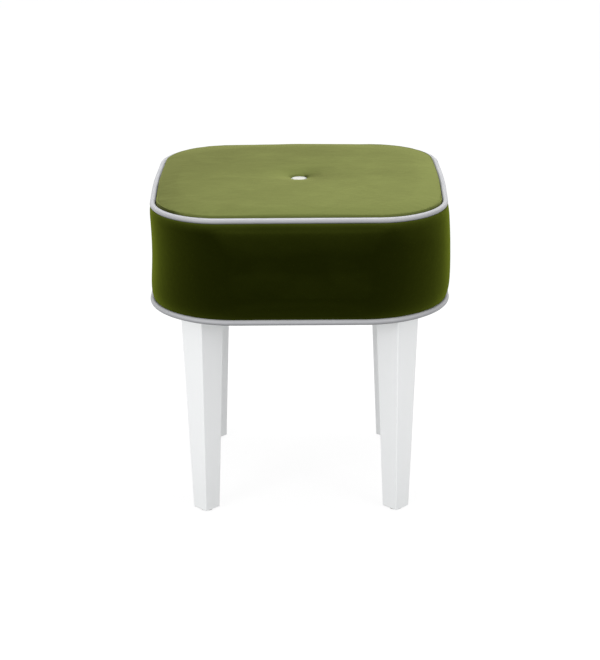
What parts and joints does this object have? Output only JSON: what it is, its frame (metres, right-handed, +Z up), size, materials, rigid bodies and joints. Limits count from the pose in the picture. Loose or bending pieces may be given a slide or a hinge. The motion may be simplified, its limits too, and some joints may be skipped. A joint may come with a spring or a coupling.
{
  "type": "vanity stool",
  "caption": "Upholstered vanity stool with a piped and buttoned velvet box cushion, rounded square in plan, on tapered square legs.",
  "frame": {"origin": "on the floor, under the middle of the seat, at the bottom centre of the stool's box", "axes": "+Z up, +X to the right seen from the front, -Y towards the front"},
  "size_m": [0.4122, 0.4122, 0.4494],
  "materials": {
    "velvet": "olive green cut-pile velvet, soft sheen",
    "piping_strip": "white coated cloth strip, smooth satin",
    "filler_cord": "twisted cotton filler cord, undyed",
    "button_cover": "white coated cloth drawn over a steel shell, satin",
    "leg_paint": "solid hardwood, sprayed white satin paint",
    "plywood": "birch plywood, sanded, unfinished",
    "foam": "polyurethane seat foam, cut face",
    "wadding": "polyester wadding, matt",
    "dust_cloth": "black spun-bonded polypropylene cloth, matt",
    "zinc_steel": "bright zinc-plated steel",
    "twine": "waxed linen twine",
    "glide_nylon": "grey nylon glide, moulded"
  },
  "bodies": {
    "root": {"base_board": "plywood", "foam_block": "foam", "wadding_wrap": "wadding", "cover_top_panel": "velvet", "cover_side_band": "velvet", "top_piping": "piping_strip", "top_piping_cord": "filler_cord", "bottom_piping": "piping_strip", "bottom_piping_cord": "filler_cord", "dust_cover": "dust_cloth", "button_cap": "button_cover", "button_back": "zinc_steel", "button_twine": "twine", "twine_washer": "zinc_steel", "leg_front_left": "leg_paint", "leg_front_right": "leg_paint", "leg_rear_left": "leg_paint", "leg_rear_right": "leg_paint", "glide_front_left": "glide_nylon", "glide_front_right": "glide_nylon", "glide_rear_left": "glide_nylon", "glide_rear_right": "glide_nylon", "hanger_bolt_front_left": "zinc_steel", "hanger_bolt_front_right": "zinc_steel", "hanger_bolt_rear_left": "zinc_steel", "hanger_bolt_rear_right": "zinc_steel", "tee_nut_front_left": "zinc_steel", "tee_nut_front_right": "zinc_steel", "tee_nut_rear_left": "zinc_steel", "tee_nut_rear_right": "zinc_steel"}
  },
  "joints": []
}
